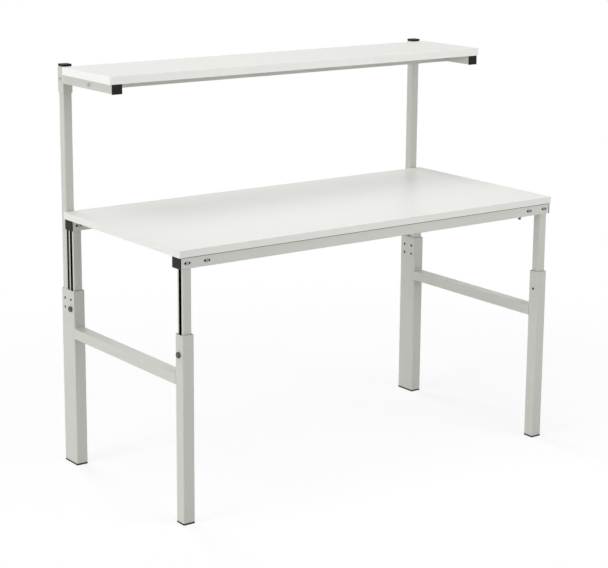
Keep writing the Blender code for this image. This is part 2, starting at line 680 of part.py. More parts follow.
def build_upright(side, sign):
    name = f"upright_{side}"
    centre_x = sign * UPRIGHT_X
    upright = tube(
        name,
        (centre_x, UPRIGHT_Y, UPRIGHT_TOP - UPRIGHT_LENGTH / 2),
        (UPRIGHT_WIDTH, UPRIGHT_WIDTH, UPRIGHT_LENGTH),
        "Z",
        coated_steel,
        frame_root,
    )
    hole_length = UPRIGHT_WIDTH + 2 * OVERRUN
    for row, height in (("low", CLAMP_HEIGHT), ("high", UPPER_HOLE_HEIGHT)):
        hole_centre = (centre_x, UPRIGHT_Y, height)
        cut(upright, rod(f"{name}_{row}_hole", hole_centre, HOLE_DIAMETER, hole_length, "X"))
    cap_width = UPRIGHT_WIDTH + 2 * UPRIGHT_CAP_LIP
    bore_width = UPRIGHT_WIDTH - 2 * TUBE_WALL
    plug(
        f"upright_cap_{side}",
        (centre_x, UPRIGHT_Y, UPRIGHT_TOP + CLEARANCE + UPRIGHT_CAP_THICKNESS / 2),
        (cap_width, cap_width, UPRIGHT_CAP_THICKNESS),
        (0, 0, 1),
        (bore_width, bore_width, UPRIGHT_CAP_PLUG),
        black_plastic,
        frame_root,
    )
    screw_name = f"upright_screw_{side}"
    screw_x = sign * (LEG_OUTER_X - UPRIGHT_SCREW_SINK)
    screw_radius = UPRIGHT_SCREW_DIAMETER / 2
    screw = turned(
        screw_name,
        [(0, 0), (screw_radius, 0), (screw_radius, -UPRIGHT_SCREW_LENGTH), (0, -UPRIGHT_SCREW_LENGTH)],
        (screw_x, UPRIGHT_Y, CLAMP_HEIGHT),
        (sign, 0, 0),
        zinc,
        frame_root,
    )
    socket(
        screw,
        f"{screw_name}_socket",
        (screw_x, UPRIGHT_Y, CLAMP_HEIGHT),
        (sign, 0, 0),
        UPRIGHT_SCREW_SOCKET_WIDTH,
        UPRIGHT_SCREW_SOCKET_DEPTH,
    )


def build_beam(row, beam_y, leg_y):
    name = f"{row}_beam"
    beam = tube(
        name,
        (0, beam_y, BEAM_MIDDLE_Z),
        (2 * BEAM_END_X, BEAM_DEPTH, BEAM_HEIGHT),
        "X",
        coated_steel,
        table_root,
    )
    front_wall_y = beam_y - BEAM_DEPTH / 2 + TUBE_WALL / 2
    for side, sign in SIDES:
        mouth_width = INNER_LEG_WIDTH + 2 * CLEARANCE
        mouth = block(
            f"{name}_leg_mouth_{side}",
            (sign * LEG_CENTRE_X, leg_y, BEAM_BOTTOM + TUBE_WALL / 2),
            (mouth_width, mouth_width, TUBE_WALL + 2 * CLEARANCE),
        )
        cut(beam, mouth)
        for number in (1, 2):
            screw_x = sign * (LEG_CENTRE_X - (number - 1) * BEAM_SCREW_SPACING)
            slot = rod(
                f"{name}_slot_{side}_{number}",
                (screw_x, front_wall_y, BEAM_MIDDLE_Z),
                BEAM_SCREW_DIAMETER + 2 * CLEARANCE,
                TUBE_WALL + 2 * CLEARANCE,
                "Y",
                stretch=BEAM_SCREW_SLOT,
            )
            cut(beam, slot)
        plug(
            f"beam_cap_{row}_{side}",
            (sign * (BEAM_END_X + CLEARANCE + BEAM_CAP_THICKNESS / 2), beam_y, BEAM_MIDDLE_Z),
            (BEAM_CAP_THICKNESS, BEAM_DEPTH, BEAM_HEIGHT),
            (sign, 0, 0),
            (BEAM_CAP_PLUG, BEAM_DEPTH - 2 * TUBE_WALL, BEAM_HEIGHT - 2 * TUBE_WALL),
            black_plastic,
            table_root,
        )
    return beam


def build_grounding_stud(beam):
    """A press stud riveted through the lower wall of the front beam."""
    stud_x = WORKTOP_LENGTH / 2 - STUD_FROM_END
    stud_y = FRONT_Y + BEAM_SETBACK + STUD_FROM_BEAM_FRONT
    hole = rod(
        "stud_hole",
        (stud_x, stud_y, BEAM_BOTTOM + TUBE_WALL / 2),
        STUD_RIVET_DIAMETER + 2 * CLEARANCE,
        TUBE_WALL + 2 * CLEARANCE,
        "Z",
    )
    cut(beam, hole)
    base_top = -CLEARANCE
    base_bottom = base_top - STUD_BASE_THICKNESS
    neck_bottom = base_bottom - STUD_NECK_HEIGHT
    rivet_bottom = TUBE_WALL + CLEARANCE
    rivet_top = rivet_bottom + STUD_RIVET_HEAD_HEIGHT
    turned(
        "grounding_stud",
        [
            (0, rivet_top),
            (STUD_RIVET_HEAD_DIAMETER / 2, rivet_top),
            (STUD_RIVET_HEAD_DIAMETER / 2, rivet_bottom),
            (STUD_RIVET_DIAMETER / 2, rivet_bottom),
            (STUD_RIVET_DIAMETER / 2, base_top),
            (STUD_BASE_DIAMETER / 2, base_top),
            (STUD_BASE_DIAMETER / 2, base_bottom),
            (STUD_NECK_DIAMETER / 2, base_bottom),
            (STUD_NECK_DIAMETER / 2, neck_bottom),
            (STUD_DIAMETER / 2, neck_bottom - STUD_NECK_HEIGHT / 2),
            (STUD_DIAMETER / 2, neck_bottom - STUD_HEIGHT / 2),
            (STUD_NECK_DIAMETER / 2, neck_bottom - STUD_HEIGHT),
            (0, neck_bottom - STUD_HEIGHT),
        ],
        (stud_x, stud_y, BEAM_BOTTOM),
        (0, 0, 1),
        zinc,
        table_root,
    )


def build_shelf_bracket(side, sign):
    """A collar round the upright with the shelf's arm welded to its front."""
    name = f"shelf_bracket_{side}"
    collar_centre = (sign * UPRIGHT_X, UPRIGHT_Y, COLLAR_TOP - COLLAR_HEIGHT / 2)
    bracket = block(
        name,
        collar_centre,
        (COLLAR_WIDTH, COLLAR_WIDTH, COLLAR_HEIGHT),
        coated_steel,
        shelf_root,
        along="Z",
        corner=TUBE_CORNER,
    )
    arm_rear_y = COLLAR_FRONT_Y + ARM_WELD
    arm_length = arm_rear_y - ARM_FRONT_Y
    arm_centre = (sign * UPRIGHT_X, (ARM_FRONT_Y + arm_rear_y) / 2, ARM_MIDDLE_Z)
    fuse(
        bracket,
        block(f"{name}_arm", arm_centre, (ARM_WIDTH, arm_length, ARM_HEIGHT), along="Y", corner=TUBE_CORNER),
    )
    bore_width = ARM_WIDTH - 2 * TUBE_WALL
    bore_height = ARM_HEIGHT - 2 * TUBE_WALL
    bore_front_y = ARM_FRONT_Y - OVERRUN
    bore_rear_y = COLLAR_FRONT_Y - ARM_END_PLATE
    arm_bore = block(
        f"{name}_arm_bore",
        (sign * UPRIGHT_X, (bore_front_y + bore_rear_y) / 2, ARM_MIDDLE_Z),
        (bore_width, bore_rear_y - bore_front_y, bore_height),
        along="Y",
        corner=TUBE_CORNER - TUBE_WALL / 2,
    )
    cut(bracket, arm_bore)
    collar_bore_width = UPRIGHT_WIDTH + 2 * CLEARANCE
    collar_bore = block(
        f"{name}_collar_bore",
        collar_centre,
        (collar_bore_width, collar_bore_width, COLLAR_HEIGHT + 2 * OVERRUN),
        along="Z",
        corner=TUBE_CORNER,
    )
    cut(bracket, collar_bore)
    shelf_hole = SHELF_SCREW_DIAMETER + 2 * CLEARANCE
    cut(
        bracket,
        rod(
            f"{name}_beam_hole",
            (sign * UPRIGHT_X, SHELF_BEAM_Y, ARM_MIDDLE_Z),
            shelf_hole,
            ARM_WIDTH + 2 * OVERRUN,
            "X",
        ),
    )
    screw_z = COLLAR_TOP - COLLAR_SCREW_DROP
    cut(
        bracket,
        rod(
            f"{name}_screw_hole",
            (sign * (COLLAR_OUTER_X - COLLAR_WALL / 2), UPRIGHT_Y, screw_z),
            COLLAR_SCREW_DIAMETER + 2 * CLEARANCE,
            COLLAR_WALL + 2 * CLEARANCE,
            "X",
        ),
    )

    cap_width = ARM_WIDTH + 2 * ARM_CAP_LIP
    cap_height = ARM_HEIGHT + ARM_CAP_LIP
    plug(
        f"arm_cap_{side}",
        (sign * UPRIGHT_X, SHELF_FRONT_Y + ARM_CAP_THICKNESS / 2, ARM_TOP - cap_height / 2),
        (cap_width, ARM_CAP_THICKNESS, cap_height),
        (0, -1, 0),
        (bore_width, ARM_CAP_PLUG, bore_height - ARM_CAP_LIP),
        black_plastic,
        shelf_root,
    )

    collar_screw_name = f"collar_screw_{side}"
    collar_screw_x = COLLAR_OUTER_X + CLEARANCE
    collar_screw_length = COLLAR_WALL + CLEARANCE
    collar_screw = turned(
        collar_screw_name,
        button_profile(
            COLLAR_SCREW_HEAD_DIAMETER, COLLAR_SCREW_HEAD_HEIGHT, COLLAR_SCREW_DIAMETER, collar_screw_length
        ),
        (sign * collar_screw_x, UPRIGHT_Y, screw_z),
        (sign, 0, 0),
        zinc,
        shelf_root,
    )
    socket(
        collar_screw,
        f"{collar_screw_name}_socket",
        (sign * (collar_screw_x + COLLAR_SCREW_HEAD_HEIGHT), UPRIGHT_Y, screw_z),
        (sign, 0, 0),
        UPRIGHT_SCREW_SOCKET_WIDTH,
        COLLAR_SCREW_HEAD_HEIGHT / 2,
    )

    arm_outer_x = UPRIGHT_X + ARM_WIDTH / 2
    shelf_screw_name = f"shelf_beam_screw_{side}"
    shelf_screw_x = arm_outer_x + CLEARANCE
    shelf_screw_length = ARM_WIDTH + 2 * CLEARANCE + SHELF_SCREW_REACH
    shelf_screw = turned(
        shelf_screw_name,
        button_profile(BUTTON_HEAD_DIAMETER, BUTTON_HEAD_HEIGHT, SHELF_SCREW_DIAMETER, shelf_screw_length),
        (sign * shelf_screw_x, SHELF_BEAM_Y, ARM_MIDDLE_Z),
        (sign, 0, 0),
        zinc,
        shelf_root,
    )
    socket(
        shelf_screw,
        f"{shelf_screw_name}_socket",
        (sign * (shelf_screw_x + BUTTON_HEAD_HEIGHT), SHELF_BEAM_Y, ARM_MIDDLE_Z),
        (sign, 0, 0),
        BUTTON_SOCKET_WIDTH,
        BUTTON_SOCKET_DEPTH,
    )


def build_shelf():
    half_length = UPRIGHT_X - ARM_WIDTH / 2 - CLEARANCE
    beam = block(
        "shelf_beam",
        (0, SHELF_BEAM_Y, ARM_MIDDLE_Z),
        (2 * half_length, SHELF_BEAM_DEPTH, ARM_HEIGHT),
        coated_steel,
        shelf_root,
        along="X",
        corner=TUBE_CORNER,
    )
    bore = block(
        "shelf_beam_bore",
        (0, SHELF_BEAM_Y, ARM_MIDDLE_Z),
        (
            2 * half_length - 2 * SHELF_BEAM_END_PLATE,
            SHELF_BEAM_DEPTH - 2 * TUBE_WALL,
            ARM_HEIGHT - 2 * TUBE_WALL,
        ),
    )
    cut(beam, bore)
    for side, sign in SIDES:
        thread = rod(
            f"shelf_beam_thread_{side}",
            (sign * (half_length - SHELF_BEAM_END_PLATE / 2), SHELF_BEAM_Y, ARM_MIDDLE_Z),
            SHELF_SCREW_DIAMETER + 2 * CLEARANCE,
            SHELF_BEAM_END_PLATE + 2 * OVERRUN,
            "X",
        )
        cut(beam, thread)
    block(
        "shelf_board",
        (0, (SHELF_FRONT_Y + SHELF_REAR_Y) / 2, SHELF_TOP - SHELF_THICKNESS / 2),
        (SHELF_LENGTH, SHELF_DEPTH, SHELF_THICKNESS),
        laminate,
        shelf_root,
        all_edges=SHELF_EDGE_ROUND,
    )


def build_worktop():
    block(
        "worktop",
        (0, FRONT_Y + WORKTOP_DEPTH / 2, WORKTOP_HEIGHT - WORKTOP_THICKNESS / 2),
        (WORKTOP_LENGTH, WORKTOP_DEPTH, WORKTOP_THICKNESS),
        laminate,
        table_root,
        all_edges=WORKTOP_EDGE_ROUND,
    )


def build_bench():
    rows = (("front", FRONT_LEG_Y, FRONT_BEAM_Y), ("rear", REAR_POCKET_Y, REAR_BEAM_Y))
    for side, sign in SIDES:
        build_lower_legs(side, sign)
        build_feet(side, sign)
        build_upright(side, sign)
        build_shelf_bracket(side, sign)
        for row, leg_y, beam_y in rows:
            build_inner_leg(row, side, sign, leg_y, beam_y - BEAM_DEPTH / 2 + TUBE_WALL)
            build_glide(row, side, sign, leg_y)
            build_clamp(row, side, sign, leg_y)
    for row, leg_y, beam_y in rows:
        beam = build_beam(row, beam_y, leg_y)
        if row == "front":
            build_grounding_stud(beam)
    build_worktop()
    build_shelf()


build_bench()
bpy.context.view_layer.update()
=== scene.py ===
import json
import math

import bmesh
import bpy
from mathutils import Matrix, Vector


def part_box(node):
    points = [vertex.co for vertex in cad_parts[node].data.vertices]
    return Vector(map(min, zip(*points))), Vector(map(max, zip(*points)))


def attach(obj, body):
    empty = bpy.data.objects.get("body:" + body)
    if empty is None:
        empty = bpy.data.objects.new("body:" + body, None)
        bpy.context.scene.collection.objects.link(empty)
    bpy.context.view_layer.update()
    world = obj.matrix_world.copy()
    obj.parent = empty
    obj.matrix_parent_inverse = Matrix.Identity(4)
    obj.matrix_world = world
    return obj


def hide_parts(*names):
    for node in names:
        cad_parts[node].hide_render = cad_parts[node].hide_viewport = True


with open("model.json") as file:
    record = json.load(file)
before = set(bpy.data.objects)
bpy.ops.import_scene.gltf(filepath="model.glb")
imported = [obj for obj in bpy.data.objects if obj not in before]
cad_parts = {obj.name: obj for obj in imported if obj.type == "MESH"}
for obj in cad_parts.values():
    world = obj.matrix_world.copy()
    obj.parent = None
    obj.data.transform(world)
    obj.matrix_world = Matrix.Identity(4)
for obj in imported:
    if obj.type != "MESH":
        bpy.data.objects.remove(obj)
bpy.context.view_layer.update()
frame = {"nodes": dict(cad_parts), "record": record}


class Wire:
    # one output socket; an expression on it adds Math nodes
    def __init__(self, finish, socket):
        self.finish = finish
        self.socket = socket

    def maths(self, operation, *values):
        return self.finish.node("ShaderNodeMath", {"operation": operation}, list(values))

    def __add__(self, other):
        return self.maths("ADD", self, other)

    def __radd__(self, other):
        return self.maths("ADD", other, self)

    def __sub__(self, other):
        return self.maths("SUBTRACT", self, other)

    def __rsub__(self, other):
        return self.maths("SUBTRACT", other, self)

    def __mul__(self, other):
        return self.maths("MULTIPLY", self, other)

    def __rmul__(self, other):
        return self.maths("MULTIPLY", other, self)

    def __abs__(self):
        return self.maths("ABSOLUTE", self)

    def __lt__(self, other):
        return self.maths("LESS_THAN", self, other)

    def __gt__(self, other):
        return self.maths("GREATER_THAN", self, other)


class Finish:
    # a material under construction; floor and world use it too
    def __init__(self, name, tree=None):
        self.material = None
        if tree is None:
            self.material = bpy.data.materials.new(name)
            self.material.use_nodes = True
            tree = self.material.node_tree
        self.tree = tree
        self.tree.nodes.clear()

    def node(self, kind, settings=None, values=None, output=0):
        made = self.tree.nodes.new(kind)
        for name, value in (settings or {}).items():
            if name == "stops":
                self.setStops(made.color_ramp, value)
            else:
                setattr(made, name, value)
        pairs = enumerate(values) if isinstance(values, list) else (values or {}).items()
        for key, value in pairs:
            self.feed(made.inputs[key], value)
        return None if output is None else Wire(self, made.outputs[output])

    def feed(self, socket, value):
        if isinstance(value, Wire):
            self.tree.links.new(value.socket, socket)
        else:
            socket.default_value = value

    def setStops(self, ramp, stops):
        while len(ramp.elements) < len(stops):
            ramp.elements.new(0.5)
        for element, (place, shade) in zip(ramp.elements, stops):
            element.position = place
            element.color = (shade, shade, shade, 1)

    def place(self):
        return self.node("ShaderNodeTexCoord", output="Object")

    def axes(self):
        split = self.node("ShaderNodeSeparateXYZ", values=[self.place()])
        outputs = split.socket.node.outputs
        return [Wire(self, outputs[number]) for number in range(3)]

    def noise(self, scale, detail=2.0, roughness=0.5, stretch=None):
        place = self.place()
        if stretch:
            place = self.node("ShaderNodeMapping", values={"Vector": place, "Scale": stretch})
        return self.node("ShaderNodeTexNoise", values={
            "Vector": place, "Scale": scale, "Detail": detail, "Roughness": roughness})

    def vary(self, noise, middle, spread):
        # a noise is about 0.5 on average
        return middle + (noise - 0.5) * spread

    def blend(self, factor, first, second):
        # colours: a Math node would turn them grey
        return self.node(
            "ShaderNodeMix", {"data_type": "RGBA"}, {0: factor, 6: first, 7: second}, output=2)

    def bump(self, height, strength, distance):
        return self.node("ShaderNodeBump", values={
            "Height": height, "Strength": strength, "Distance": distance})

    def plainRays(self):
        # what the camera sees, and what shows in gloss and through glass
        camera, glossy, through = [
            self.node("ShaderNodeLightPath", output=f"Is {kind} Ray")
            for kind in ("Camera", "Glossy", "Transmission")]
        return camera + glossy + through

    def principled(self, **sockets):
        values = {name.replace("_", " "): value for name, value in sockets.items()}
        return self.node("ShaderNodeBsdfPrincipled", values=values)

    def surface(self, shader):
        self.node("ShaderNodeOutputMaterial", values=[shader], output=None)
        return self.material


def shade(red, green, blue, factor=1.0):
    return (red * factor, green * factor, blue * factor, 1)


white = shade(1, 1, 1)

coat = {
    "colour": (0.575, 0.583, 0.535),
    "beamPaintedLight": 1.09,  # painted light: the front beam's coat is made lighter to stand in for the extra light it catches
    "darker": 0.955,  # the cloudier patches of the powder coat
    "cloudScale": 5.0,
    "peelScale": 620.0,  # orange peel, about 1.5 mm from crest to crest
    "peelStrength": 0.10,
    "peelDepth": 0.0003,
    "roughness": 0.30,
    "roughnessRange": 0.10,
    "gloss": 0.5,
}
# painted shade: a near-black, unglossy colour for the insides of the tubes, the edges of openings
# cut in them and the parts hidden in other tubes
paintedShade = {
    "wall": 0.0019,  # a little less than the walls of the tubes
    "colour": (0.004, 0.004, 0.004),
    "roughness": 0.9,
}


def hollowOf(node, axes):
    # the inside of a tube as x, y and z limits, without a limit along its length
    low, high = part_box(node)
    wall = paintedShade["wall"]
    return [(low[axis] + wall, high[axis] - wall) if axis in axes else None for axis in range(3)]


def powderCoat(name, hollows=(), tone=1.0):
    # light grey powder coat; in the hollows given, a near-black painted shade stands in for the
    # shade inside the tubes
    finish = Finish(name)
    cloud = finish.noise(coat["cloudScale"], detail=3.0)
    peel = finish.noise(coat["peelScale"], detail=1.0, roughness=0.4)
    darker = shade(*coat["colour"], tone * coat["darker"])
    shader = finish.principled(
        Base_Color=finish.blend(cloud, darker, shade(*coat["colour"], tone)),
        Roughness=finish.vary(cloud, coat["roughness"], coat["roughnessRange"]),
        Specular_IOR_Level=coat["gloss"],
        Normal=finish.bump(peel, coat["peelStrength"], coat["peelDepth"]))
    if not hollows:
        return finish.surface(shader)
    x, y, z = finish.axes()
    inside = None
    for limits in hollows:
        room = None
        for value, limit in zip((abs(x), y, z), limits):
            if limit is not None:
                within = (value > limit[0]) * (value < limit[1])
                room = within if room is None else room * within
        inside = room if inside is None else inside.maths("MAXIMUM", inside, room)
    # the painted shade that fills the hollows
    dark = finish.principled(
        Base_Color=shade(*paintedShade["colour"]),
        Roughness=paintedShade["roughness"],
        Specular_IOR_Level=0.0)
    return finish.surface(finish.node("ShaderNodeMixShader", values=[inside, shader, dark]))


board = {
    "colour": (0.83, 0.837, 0.80),
    "fleck": (0.68, 0.685, 0.65),  # the faint grain of the dissipative laminate
    "fleckScale": 420.0,
    "fleckStops": [(0.55, 0.0), (0.70, 0.65)],
    "cloudScale": 2.2,
    "cloudRange": 0.03,
    "roughness": 0.36,
    "roughnessRange": 0.08,
    "gloss": 0.22,
    "grainStrength": 0.06,
    "grainDepth": 0.0002,
}


def laminate(name):
    finish = Finish(name)
    grain = finish.noise(board["fleckScale"], detail=3.0, roughness=0.6)
    cloud = finish.noise(board["cloudScale"])
    fleck = finish.node("ShaderNodeValToRGB", {"stops": board["fleckStops"]}, [grain])
    darker = shade(*board["colour"], 1 - board["cloudRange"])
    base = finish.blend(cloud, darker, shade(*board["colour"]))
    return finish.surface(finish.principled(
        Base_Color=finish.blend(fleck, base, shade(*board["fleck"])),
        Roughness=finish.vary(cloud, board["roughness"], board["roughnessRange"]),
        Specular_IOR_Level=board["gloss"],
        Normal=finish.bump(grain, board["grainStrength"], board["grainDepth"])))


band = {
    "worktopColour": (0.80, 0.81, 0.775),
    "shelfColour": (0.90, 0.905, 0.875),
    "streakScale": 260.0,
    "streakSqueeze": 0.02,  # along the edging, so a streak is fifty times as long as wide
    "streakRange": 0.05,
    "roughness": 0.38,
    "roughnessRange": 0.1,
    "gloss": 0.22,
    "grainStrength": 0.05,
    "grainDepth": 0.0002,
}


def edgeBand(name, along, tint):
    # extruded edging: faint streaks that run along it
    finish = Finish(name)
    stretch = [1.0, 1.0, 1.0]
    stretch["xyz".index(along)] = band["streakSqueeze"]
    streak = finish.noise(band["streakScale"], stretch=stretch)
    return finish.surface(finish.principled(
        Base_Color=finish.blend(streak, shade(*tint, 1 - band["streakRange"]), shade(*tint)),
        Roughness=finish.vary(streak, band["roughness"], band["roughnessRange"]),
        Specular_IOR_Level=band["gloss"],
        Normal=finish.bump(streak, band["grainStrength"], band["grainDepth"])))


plastic = {
    "colour": (0.009, 0.010, 0.010),
    "worn": (0.015, 0.016, 0.016),
    "cloudScale": 30.0,
    "gloss": 0.15,
    "grainScale": 900.0,
    "grainStrength": 0.18,
    "grainDepth": 0.0002,
    "roughness": 0.46,
    "roughnessRange": 0.12,
}


def blackPlastic(name):
    finish = Finish(name)
    grain = finish.noise(plastic["grainScale"])
    cloud = finish.noise(plastic["cloudScale"])
    return finish.surface(finish.principled(
        Base_Color=finish.blend(cloud, shade(*plastic["colour"]), shade(*plastic["worn"])),
        Roughness=finish.vary(cloud, plastic["roughness"], plastic["roughnessRange"]),
        Specular_IOR_Level=plastic["gloss"],
        Normal=finish.bump(grain, plastic["grainStrength"], plastic["grainDepth"])))


plating = {
    "colour": (0.63, 0.65, 0.63),
    "duller": (0.45, 0.465, 0.45),
    "blotchScale": 260.0,
    "roughness": 0.30,
    "roughnessRange": 0.22,
    "grainStrength": 0.08,
    "grainDepth": 0.0002,
    "dullTone": 0.62,  # the screws in the beams
    "darkTone": 0.22,  # the bolts and set screws in the legs and the stud are nearly black
}


def platedSteel(name, tone=1.0):
    finish = Finish(name)
    blotch = finish.noise(plating["blotchScale"], detail=3.0)
    duller = shade(*plating["duller"], tone)
    return finish.surface(finish.principled(
        Base_Color=finish.blend(blotch, duller, shade(*plating["colour"], tone)),
        Metallic=1.0,
        Roughness=finish.vary(blotch, plating["roughness"], plating["roughnessRange"]),
        Normal=finish.bump(blotch, plating["grainStrength"], plating["grainDepth"])))


# where the painted shade begins, in openings cut through the walls of the tubes
innerLeg = {"insideWidth": 0.0262, "slotWidth": 0.0154}
cuts = {
    "skin": 0.0003,  # the coat goes this far into an opening
    "wall": 0.0022,
    "slotReach": 0.0113,
    "slotHalf": 0.0044,
    "holeHalf": 0.005,
    "holePitch": 0.031,  # between the upper and the lower holes of a rear leg
    "holeMargin": 0.004,  # the holes keep clear of the leg's front and rear walls
    "mouthDrop": 0.002,  # the upright shows its coat to just inside the rear leg; below that it gets painted shade
}


def middleOf(node):
    low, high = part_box(node)
    return (low + high) / 2


def around(middle, half):
    return (middle - half, middle + half)


def beamHollows(row):
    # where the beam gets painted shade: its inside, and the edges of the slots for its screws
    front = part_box(row + "_beam")[0].y
    hollows = [hollowOf(row + "_beam", (1, 2))]
    for number in (1, 2):
        screw = middleOf(f"beam_screw_{row}_right_{number}")
        hollows.append([
            around(screw.x, cuts["slotReach"]),
            (front + cuts["skin"], front + cuts["wall"]),
            around(screw.z, cuts["slotHalf"])])
    return hollows


def legHollows(node):
    # where a lower leg gets painted shade: its inside, and the edges of the holes in its sides
    low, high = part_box(node)
    hole = middleOf("clamp_bolt_rear_right").z
    holes = [
        (low.x + cuts["skin"], high.x - cuts["skin"]),
        (low.y + cuts["holeMargin"], high.y - cuts["holeMargin"]),
        (hole - cuts["holeHalf"], hole + cuts["holePitch"] + cuts["holeHalf"])]
    return [hollowOf(node, (0, 1)), holes]


def uprightHollows():
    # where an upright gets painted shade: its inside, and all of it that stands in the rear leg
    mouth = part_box("rear_leg_right")[1].z - cuts["mouthDrop"]
    return [hollowOf("upright_right", (0, 1)), [None, None, (0, mouth)]]


def innerLegHollows(row):
    # where an inner leg gets painted shade: the inside of the channel, the edges of its slot, and
    # its end inside the beam
    x = middleOf("front_leg_right").x
    y = middleOf("front_leg_right" if row == "front" else "clamp_plate_rear_right").y
    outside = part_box(f"inner_leg_{row}_right")[1].x - cuts["skin"]
    half = innerLeg["insideWidth"] / 2
    channel = [around(x, half), around(y, half), None]
    slot = [(x, outside), around(y, innerLeg["slotWidth"] / 2), None]
    return [channel, slot, hollowOf(row + "_beam", (1, 2))]


finishes = {
    # the coats given hollows carry a near-black painted shade there
    "coat": powderCoat("powder_coat"),
    # painted light: the front beam's coat is made lighter than the other tubes' coat
    "frontBeamCoat": powderCoat("powder_coat_front_beam", beamHollows("front"), coat["beamPaintedLight"]),
    "rearBeamCoat": powderCoat("powder_coat_rear_beam", beamHollows("rear")),
    "frontLegCoat": powderCoat("powder_coat_front_leg", legHollows("front_leg_right")),
    "rearLegCoat": powderCoat("powder_coat_rear_leg", legHollows("rear_leg_right")),
    "uprightCoat": powderCoat("powder_coat_upright", uprightHollows()),
    "frontInnerLegCoat": powderCoat("powder_coat_front_inner_leg", innerLegHollows("front")),
    "rearInnerLegCoat": powderCoat("powder_coat_rear_inner_leg", innerLegHollows("rear")),
    "laminate": laminate("pale_laminate"),
    "worktopBandX": edgeBand("worktop_band_long", "x", band["worktopColour"]),
    "worktopBandY": edgeBand("worktop_band_short", "y", band["worktopColour"]),
    "shelfBandX": edgeBand("shelf_band_long", "x", band["shelfColour"]),
    "shelfBandY": edgeBand("shelf_band_short", "y", band["shelfColour"]),
    "plastic": blackPlastic("black_plastic"),
    "zinc": platedSteel("zinc_plate"),
    "dullZinc": platedSteel("dull_zinc", plating["dullTone"]),
    "darkSteel": platedSteel("dark_steel", plating["darkTone"]),
}
print("finishes made:", len(finishes))

bodyOf = {}
for bodyName, nodeNames in frame["record"]["behaviour"]["bodies"].items():
    for nodeName in nodeNames:
        bodyOf[nodeName] = bodyName
slotOf = {part["node"]: part["material_slot"] for part in frame["record"]["subparts"]}
sharpAngle = math.radians(50)  # edges sharper than this stay sharp in the shading
samePlace = 1e-6


def addPiece(name, shape, finish, body, replaced=()):
    mesh = bpy.data.meshes.new(name)
    shape.normal_update()
    shape.to_mesh(mesh)
    shape.free()
    mesh.materials.append(finishes[finish])
    mesh.shade_smooth()
    mesh.set_sharp_from_angle(angle=sharpAngle)
    piece = bpy.data.objects.new(name, mesh)
    bpy.context.scene.collection.objects.link(piece)
    weighted = piece.modifiers.new("even shading", "WEIGHTED_NORMAL")
    weighted.keep_sharp = True
    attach(piece, body)
    if replaced:
        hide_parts(*replaced)
    return piece


def edgesAlong(shape, axis):
    others = [number for number in range(3) if number != axis]
    return [e for e in shape.edges
            if all(abs((e.verts[0].co - e.verts[1].co)[other]) < samePlace for other in others)]


def bevel(shape, edges, width, segments):
    bmesh.ops.bevel(
        shape, geom=edges, offset=width, offset_type="OFFSET", segments=segments,
        profile=0.5, affect="EDGES", material=-1, clamp_overlap=True)


def boxBetween(low, high):
    shape = bmesh.new()
    bmesh.ops.create_cube(shape, size=1.0)
    size = Vector(high) - Vector(low)
    bmesh.ops.scale(shape, vec=size, verts=shape.verts)
    bmesh.ops.translate(shape, vec=(Vector(high) + Vector(low)) / 2, verts=shape.verts)
    return shape


# boards: a laminated core inside an edging that goes all round
edging = {
    "thickness": 0.002,
    "cornerRound": 0.002,
    "edgeRound": 0.0012,
    "jointBevel": 0.00018,  # the fine line between laminate and edging
    "segments": 3,
    "sharp": 1.0,  # radians: edges that turn by more than this are rounded
    "touching": 0.00001,
    "flatFrom": 0.99,  # how level the top and bottom faces are
    "endFrom": 0.7,  # faces turned to the ends more than this get the short sides' streaks
}


def isOuter(point, low, high):
    # on one of the board's four sides or in a rounded corner, not on the laminate's edge
    margin = edging["cornerRound"] + edging["thickness"] / 2
    fromX = min(abs(point.x - low.x), abs(point.x - high.x))
    fromY = min(abs(point.y - low.y), abs(point.y - high.y))
    return min(fromX, fromY) < edging["touching"] or (fromX < margin and fromY < margin)


def addBoard(node, coreName, bandName, bandFinish):
    low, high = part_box(node)
    body, slot = bodyOf[node], slotOf[node]
    inset = Vector((edging["thickness"], edging["thickness"], 0))
    core = boxBetween(low + inset, high - inset)
    bevel(core, list(core.edges), edging["jointBevel"], 1)
    addPiece(coreName, core, "laminate", body, [node])
    ring = boxBetween(low, high)
    bevel(ring, edgesAlong(ring, 2), edging["cornerRound"], edging["segments"])
    caps = [f for f in ring.faces if abs(f.normal.z) > edging["flatFrom"]]
    bmesh.ops.inset_region(ring, faces=caps, thickness=edging["thickness"], use_even_offset=True)
    bmesh.ops.delete(ring, geom=caps, context="FACES_ONLY")
    rims = [e for e in ring.edges if e.is_boundary]
    bmesh.ops.bridge_loops(ring, edges=rims)
    outer = [e for e in ring.edges
             if len(e.link_faces) == 2 and e.calc_face_angle() > edging["sharp"]
             and all(isOuter(v.co, low, high) for v in e.verts)]
    bevel(ring, outer, edging["edgeRound"], edging["segments"])
    bmesh.ops.recalc_face_normals(ring, faces=ring.faces)
    piece = addPiece(bandName, ring, bandFinish + "X", body)
    piece.data.materials.append(finishes[bandFinish + "Y"])
    for face in piece.data.polygons:
        if abs(face.normal.x) > edging["endFrom"]:
            face.material_index = 1


addBoard("worktop", "worktop_board", "worktop_edging", "worktopBand")
addBoard("shelf_board", "shelf_core", "shelf_edging", "shelfBand")
print("boards made")


# tubes and caps: the solids with their cut edges eased
easing = {
    "tube": 0.00035,
    "cap": 0.0002,
    "segments": 2,
    "sharp": math.radians(55),
    "flat": math.radians(0.5),
}


